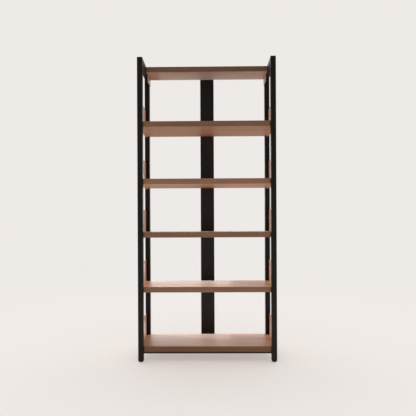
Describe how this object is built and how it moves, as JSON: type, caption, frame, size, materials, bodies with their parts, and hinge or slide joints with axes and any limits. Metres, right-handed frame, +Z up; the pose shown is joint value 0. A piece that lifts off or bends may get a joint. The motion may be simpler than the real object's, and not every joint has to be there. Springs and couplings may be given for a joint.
{
  "type": "bookcase with adjustable shelves",
  "caption": "Tall open bookcase: slim black steel side frames, thick brown wooden shelves with low end cheeks, lift-out shelves on pins, a black centre panel at the back and levelling feet.",
  "frame": {"origin": "on the floor under the middle of the bookcase", "axes": "+Z up, +Y to the rear, +X to the right seen from the front"},
  "size_m": [1, 0.385, 2.2],
  "materials": {
    "frame_black": "satin black powder coat",
    "plastic_black": "matte moulded",
    "foot_plastic": "matte moulded",
    "panel_black": "satin black lacquer",
    "wood_walnut": "satin oiled walnut brown",
    "wood_cheek": "satin oiled walnut brown",
    "zinc_steel": "bright zinc plate",
    "black_steel": "black zinc plate"
  },
  "bodies": {
    "frame": {"front_post_left": "frame_black", "rear_post_left": "frame_black", "top_rail_left": "frame_black", "front_post_right": "frame_black", "rear_post_right": "frame_black", "top_rail_right": "frame_black", "base_rail_front": "frame_black", "base_rail_rear": "frame_black", "post_caps": "plastic_black", "foot_inserts": "plastic_black", "access_plugs": "plastic_black", "top_board": "wood_walnut", "top_cheek_left": "wood_cheek", "top_cheek_right": "wood_cheek", "top_board_bolts": "zinc_steel", "bottom_shelf_board": "wood_walnut", "bottom_shelf_cheek_left": "wood_cheek", "bottom_shelf_cheek_right": "wood_cheek", "bottom_shelf_screws": "zinc_steel", "bottom_shelf_bolts": "zinc_steel", "centre_panel": "panel_black", "panel_screws": "black_steel"},
    "foot_front_left": {"foot_front_left": "foot_plastic"},
    "foot_front_right": {"foot_front_right": "foot_plastic"},
    "foot_rear_left": {"foot_rear_left": "foot_plastic"},
    "foot_rear_right": {"foot_rear_right": "foot_plastic"},
    "shelf_1": {"shelf_1_board": "wood_walnut", "shelf_1_cheek_left": "wood_cheek", "shelf_1_cheek_right": "wood_cheek", "shelf_1_screws": "zinc_steel"},
    "shelf_1_pin_front_left": {"shelf_1_pin_front_left": "zinc_steel"},
    "shelf_1_pin_front_right": {"shelf_1_pin_front_right": "zinc_steel"},
    "shelf_1_pin_rear_left": {"shelf_1_pin_rear_left": "zinc_steel"},
    "shelf_1_pin_rear_right": {"shelf_1_pin_rear_right": "zinc_steel"},
    "shelf_2": {"shelf_2_board": "wood_walnut", "shelf_2_cheek_left": "wood_cheek", "shelf_2_cheek_right": "wood_cheek", "shelf_2_screws": "zinc_steel"},
    "shelf_2_pin_front_left": {"shelf_2_pin_front_left": "zinc_steel"},
    "shelf_2_pin_front_right": {"shelf_2_pin_front_right": "zinc_steel"},
    "shelf_2_pin_rear_left": {"shelf_2_pin_rear_left": "zinc_steel"},
    "shelf_2_pin_rear_right": {"shelf_2_pin_rear_right": "zinc_steel"},
    "shelf_3": {"shelf_3_board": "wood_walnut", "shelf_3_cheek_left": "wood_cheek", "shelf_3_cheek_right": "wood_cheek", "shelf_3_screws": "zinc_steel"},
    "shelf_3_pin_front_left": {"shelf_3_pin_front_left": "zinc_steel"},
    "shelf_3_pin_front_right": {"shelf_3_pin_front_right": "zinc_steel"},
    "shelf_3_pin_rear_left": {"shelf_3_pin_rear_left": "zinc_steel"},
    "shelf_3_pin_rear_right": {"shelf_3_pin_rear_right": "zinc_steel"},
    "shelf_4": {"shelf_4_board": "wood_walnut", "shelf_4_cheek_left": "wood_cheek", "shelf_4_cheek_right": "wood_cheek", "shelf_4_screws": "zinc_steel"},
    "shelf_4_pin_front_left": {"shelf_4_pin_front_left": "zinc_steel"},
    "shelf_4_pin_front_right": {"shelf_4_pin_front_right": "zinc_steel"},
    "shelf_4_pin_rear_left": {"shelf_4_pin_rear_left": "zinc_steel"},
    "shelf_4_pin_rear_right": {"shelf_4_pin_rear_right": "zinc_steel"}
  },
  "joints": [
    {"name": "foot_front_left_screw_out", "type": "slide", "parent": "frame", "child": "foot_front_left", "axis": [0, 0, -1], "range_m": [0, 0.01]},
    {"name": "foot_front_right_screw_out", "type": "slide", "parent": "frame", "child": "foot_front_right", "axis": [0, 0, -1], "range_m": [0, 0.01]},
    {"name": "foot_rear_left_screw_out", "type": "slide", "parent": "frame", "child": "foot_rear_left", "axis": [0, 0, -1], "range_m": [0, 0.01]},
    {"name": "foot_rear_right_screw_out", "type": "slide", "parent": "frame", "child": "foot_rear_right", "axis": [0, 0, -1], "range_m": [0, 0.01]},
    {"name": "shelf_1_lift", "type": "slide", "parent": "frame", "child": "shelf_1", "axis": [0, 0, 1], "range_m": [0, 0.184]},
    {"name": "shelf_1_pin_front_left_pull", "type": "slide", "parent": "frame", "child": "shelf_1_pin_front_left", "axis": [0, 1, 0], "range_m": [0, 0.016]},
    {"name": "shelf_1_pin_front_right_pull", "type": "slide", "parent": "frame", "child": "shelf_1_pin_front_right", "axis": [0, 1, 0], "range_m": [0, 0.016]},
    {"name": "shelf_1_pin_rear_left_pull", "type": "slide", "parent": "frame", "child": "shelf_1_pin_rear_left", "axis": [0, -1, 0], "range_m": [0, 0.016]},
    {"name": "shelf_1_pin_rear_right_pull", "type": "slide", "parent": "frame", "child": "shelf_1_pin_rear_right", "axis": [0, -1, 0], "range_m": [0, 0.016]},
    {"name": "shelf_2_lift", "type": "slide", "parent": "frame", "child": "shelf_2", "axis": [0, 0, 1], "range_m": [0, 0.174]},
    {"name": "shelf_2_pin_front_left_pull", "type": "slide", "parent": "frame", "child": "shelf_2_pin_front_left", "axis": [0, 1, 0], "range_m": [0, 0.016]},
    {"name": "shelf_2_pin_front_right_pull", "type": "slide", "parent": "frame", "child": "shelf_2_pin_front_right", "axis": [0, 1, 0], "range_m": [0, 0.016]},
    {"name": "shelf_2_pin_rear_left_pull", "type": "slide", "parent": "frame", "child": "shelf_2_pin_rear_left", "axis": [0, -1, 0], "range_m": [0, 0.016]},
    {"name": "shelf_2_pin_rear_right_pull", "type": "slide", "parent": "frame", "child": "shelf_2_pin_rear_right", "axis": [0, -1, 0], "range_m": [0, 0.016]},
    {"name": "shelf_3_lift", "type": "slide", "parent": "frame", "child": "shelf_3", "axis": [0, 0, 1], "range_m": [0, 0.204]},
    {"name": "shelf_3_pin_front_left_pull", "type": "slide", "parent": "frame", "child": "shelf_3_pin_front_left", "axis": [0, 1, 0], "range_m": [0, 0.016]},
    {"name": "shelf_3_pin_front_right_pull", "type": "slide", "parent": "frame", "child": "shelf_3_pin_front_right", "axis": [0, 1, 0], "range_m": [0, 0.016]},
    {"name": "shelf_3_pin_rear_left_pull", "type": "slide", "parent": "frame", "child": "shelf_3_pin_rear_left", "axis": [0, -1, 0], "range_m": [0, 0.016]},
    {"name": "shelf_3_pin_rear_right_pull", "type": "slide", "parent": "frame", "child": "shelf_3_pin_rear_right", "axis": [0, -1, 0], "range_m": [0, 0.016]},
    {"name": "shelf_4_lift", "type": "slide", "parent": "frame", "child": "shelf_4", "axis": [0, 0, 1], "range_m": [0, 0.247]},
    {"name": "shelf_4_pin_front_left_pull", "type": "slide", "parent": "frame", "child": "shelf_4_pin_front_left", "axis": [0, 1, 0], "range_m": [0, 0.016]},
    {"name": "shelf_4_pin_front_right_pull", "type": "slide", "parent": "frame", "child": "shelf_4_pin_front_right", "axis": [0, 1, 0], "range_m": [0, 0.016]},
    {"name": "shelf_4_pin_rear_left_pull", "type": "slide", "parent": "frame", "child": "shelf_4_pin_rear_left", "axis": [0, -1, 0], "range_m": [0, 0.016]},
    {"name": "shelf_4_pin_rear_right_pull", "type": "slide", "parent": "frame", "child": "shelf_4_pin_rear_right", "axis": [0, -1, 0], "range_m": [0, 0.016]}
  ]
}
